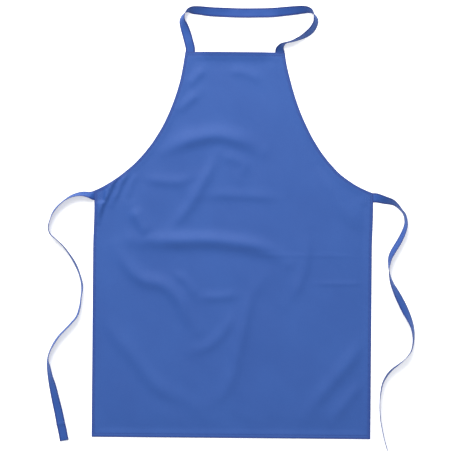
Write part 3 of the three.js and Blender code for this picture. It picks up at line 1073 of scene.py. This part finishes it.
def makeTapeStitches(name, laid, side, sewnStart, sewnEnd, seed):
    # a seam along one edge: seen on both faces where the tape is free, and behind where it is sewn
    w = side * (tape["width"] / 2 - tape["seamFromEdge"])
    h = tape["thickness"] / 2 - tape["stitchSunk"]
    up = laid["face"]
    lift = np.column_stack([np.zeros((len(laid["s"]), 2)), laid["raised"]])
    front = onTape(laid, w, h) + lift
    back = onTape(laid, w, -h) + lift
    s, fromEnd, fromSewn = laid["s"], tape["stitchFromEnd"], tape["stitchFromSewn"]
    free = (s > sewnStart + fromSewn) & (s < s[-1] - max(sewnEnd + fromSewn, fromEnd))
    within = (s > fromEnd) & (s < s[-1] - fromEnd)
    lines = [(front[free], up[free]), (back[within], -up[within])]
    return makeStitches(name, lines, seed)


# Everything that the apron is made of

panel = makePanel()
print("panel laid:", len(panel.data.vertices), "points")

hemStitches = makeHemStitches()
print("hems stitched")

tieY = waistY - panelCut["tieSewn"][1] / 2
strapX = panelCut["neckHalf"] - panelCut["strapInset"] - panelCut["strapSewn"][0] / 2
tieSewn = panelCut["tieSewn"][0] + tape["gap"]
strapSewn = panelCut["strapSewn"][1] + tape["gap"]
strapRoute = placedRoute(leftStrapRoute, -strapX, neckY + tape["gap"])
strapRoute += placedRoute(rightStrapRoute, strapX, neckY + tape["gap"])
leftRoute = placedRoute(leftTieRoute, -sideX - tape["gap"], tieY)
rightRoute = placedRoute(rightTieRoute, sideX + tape["gap"], tieY)

tapes = {
    "neckStrap": layTape(strapRoute, strapSewn, strapSewn, seeds["neckStrap"]),
    "leftWaistTie": layTape(leftRoute, tieSewn, 0, seeds["leftWaistTie"], creaseAt=40),
    "rightWaistTie": layTape(rightRoute, tieSewn, 0, seeds["rightWaistTie"]),
}
sewn = {"neckStrap": (strapSewn, strapSewn), "leftWaistTie": (tieSewn, 0), "rightWaistTie": (tieSewn, 0)}
pieces = {name: makeTape(name, laid) for name, laid in tapes.items()}
tapeStitches = {}
for name, laid in tapes.items():
    for side, label in [(1, "LeftEdgeStitches"), (-1, "RightEdgeStitches")]:
        tapeStitches[name + label] = makeTapeStitches(
            name + label, laid, side, *sewn[name], seeds["tapes"] + len(tapeStitches)
        )
print("tapes laid:", ", ".join(f"{name} {laid['s'][-1]:.0f} mm" for name, laid in tapes.items()))

tacks = {
    "leftTieTack": (-sideX + panelCut["tieSewn"][0] / 2, tieY, *panelCut["tieSewn"]),
    "rightTieTack": (sideX - panelCut["tieSewn"][0] / 2, tieY, *panelCut["tieSewn"]),
    "leftStrapTack": (-strapX, neckY - panelCut["strapSewn"][1] / 2, *panelCut["strapSewn"]),
    "rightStrapTack": (strapX, neckY - panelCut["strapSewn"][1] / 2, *panelCut["strapSewn"]),
}
tackPieces = {
    name: makeStitches(name, boxTackLines(*place), seeds["tacks"] + i)
    for i, (name, place) in enumerate(tacks.items())
}
print("tacks sewn")

# What each piece moves with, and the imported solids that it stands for

bendLength = {"waist": 36, "neck": 20, "left": 20, "right": 16}
neckBend = (rowPoint(0, neckY), rowPoint(0, neckY + bendLength["neck"]))
leftBend = (rowPoint(-sideX, tieY), rowPoint(-sideX - bendLength["left"], tieY))
rightBend = (rowPoint(sideX, tieY), rowPoint(sideX + bendLength["right"], tieY))

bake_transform(panel)
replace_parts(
    panel, "skirt_panel", "bib_panel", "bottom_hem", "left_side_hem", "right_side_hem",
    "neck_edge_hem", "left_armhole_hem", "right_armhole_hem",
)
for run, node in [
    ("lower", "bottom_hem_seam"),
    ("leftSide", "left_side_seam"),
    ("rightSide", "right_side_seam"),
]:
    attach(hemStitches[run], "skirt")
    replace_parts(hemStitches[run], node)
for run, node in [
    ("leftArmhole", "left_armhole_seam"),
    ("rightArmhole", "right_armhole_seam"),
    ("neck", "neck_edge_seam"),
]:
    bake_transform(hemStitches[run])
    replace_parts(hemStitches[run], node)

for name, node, parent, bend in [
    ("neckStrap", "neck_strap", "bib", neckBend),
    ("leftWaistTie", "left_waist_tie", "skirt", leftBend),
    ("rightWaistTie", "right_waist_tie", "skirt", rightBend),
]:
    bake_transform(pieces[name])
    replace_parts(pieces[name], node)
    for label, seam in [("LeftEdgeStitches", "left_edge_seam"), ("RightEdgeStitches", "right_edge_seam")]:
        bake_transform(tapeStitches[name + label])
        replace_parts(tapeStitches[name + label], f"{node}_{seam}")
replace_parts(pieces["neckStrap"], "neck_strap_left_sewn_end", "neck_strap_right_sewn_end")
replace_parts(pieces["leftWaistTie"], "left_waist_tie_sewn_end")
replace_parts(pieces["rightWaistTie"], "right_waist_tie_sewn_end")

for name, body, node in [
    ("leftTieTack", "skirt", "left_waist_tie_box_tack"),
    ("rightTieTack", "skirt", "right_waist_tie_box_tack"),
    ("leftStrapTack", "bib", "neck_strap_left_box_tack"),
    ("rightStrapTack", "bib", "neck_strap_right_box_tack"),
]:
    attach(tackPieces[name], body)
    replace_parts(tackPieces[name], node)

# each tape's two edge stitch pieces, looked up by name
for name, piece in pieces.items():
    tapeStitches[name + "LeftEdgeStitches"]
    tapeStitches[name + "RightEdgeStitches"]

# The table, the light and the camera

studio = {
    "table": srgb(250, 250, 251),
    "tableGlow": 0.28,  # a sheet lit from below, too, so that shadows on it stay pale
    "tableGrain": 0.985,
    "tableDrop": 0.0002,  # m under the apron
    "tableSize": 8.0,
    "keyPlace": (-0.95, 2.75, 2.65),
    "keySize": 3.0,
    "keyPower": 222.0,
    "fillPlace": (1.6, -1.8, 2.6),
    "fillSize": 2.5,
    "fillPower": 12.0,
    "sky": 0.66,
}


def makeTable():
    f = Finish("paleTable")
    grain = f.node("ShaderNodeTexNoise", {}, {"Scale": 60.0, "Detail": 3.0})
    darker = tuple(studio["tableGrain"] * c for c in studio["table"][:3]) + (1.0,)
    colour = f.mixColour(grain, studio["table"], darker)
    finish = f.close(
        {
            "Base Color": colour,
            "Roughness": 0.8,
            "Specular IOR Level": 0.2,
            "Emission Color": studio["table"],
            "Emission Strength": studio["tableGlow"],
        }
    )
    half = studio["tableSize"] / 2
    mesh = bpy.data.meshes.new("table")
    corners = [(-half, -half), (half, -half), (half, half), (-half, half)]
    mesh.from_pydata([(x, y, -studio["tableDrop"]) for x, y in corners], [], [(0, 1, 2, 3)])
    mesh.materials.append(finish)
    table = bpy.data.objects.new("table", mesh)
    bpy.context.scene.collection.objects.link(table)


def makeLamp(name, place, size, power):
    lamp = bpy.data.lights.new(name, "AREA")
    lamp.shape = "DISK"
    lamp.size = size
    lamp.energy = power
    holder = bpy.data.objects.new(name, lamp)
    holder.location = place
    holder.rotation_euler = (-Vector(place)).to_track_quat("-Z", "Y").to_euler()
    bpy.context.scene.collection.objects.link(holder)


def makeSky():
    world = bpy.data.worlds.new("studioSky")
    bpy.context.scene.world = world
    world.use_nodes = True
    ground = world.node_tree.nodes["Background"]
    ground.inputs["Color"].default_value = (0.97, 0.985, 1.0, 1.0)
    ground.inputs["Strength"].default_value = studio["sky"]


cameraSetup = {
    "centre": (-8.2, 485.0),  # on the apron, mm
    "frameWidth": 1.0727,  # m across the picture
    "distance": 5.0,
    "turn": 0.5,  # degrees
}


def makeCamera():
    data = bpy.data.cameras.new("camera")
    data.sensor_width = 36.0
    data.lens = data.sensor_width * cameraSetup["distance"] / cameraSetup["frameWidth"]
    camera = bpy.data.objects.new("camera", data)
    x, y, _ = rowPoint(*cameraSetup["centre"])
    turn = Matrix.Rotation(math.radians(cameraSetup["turn"]), 4, "Z")
    camera.matrix_world = Matrix.Translation((x, y, cameraSetup["distance"])) @ turn
    bpy.context.scene.collection.objects.link(camera)
    bpy.context.scene.camera = camera


makeTable()
makeLamp("keyLamp", studio["keyPlace"], studio["keySize"], studio["keyPower"])
makeLamp("fillLamp", studio["fillPlace"], studio["fillSize"], studio["fillPower"])
makeSky()
makeCamera()
bpy.context.scene.view_settings.view_transform = "Standard"
print("table, light and camera set")
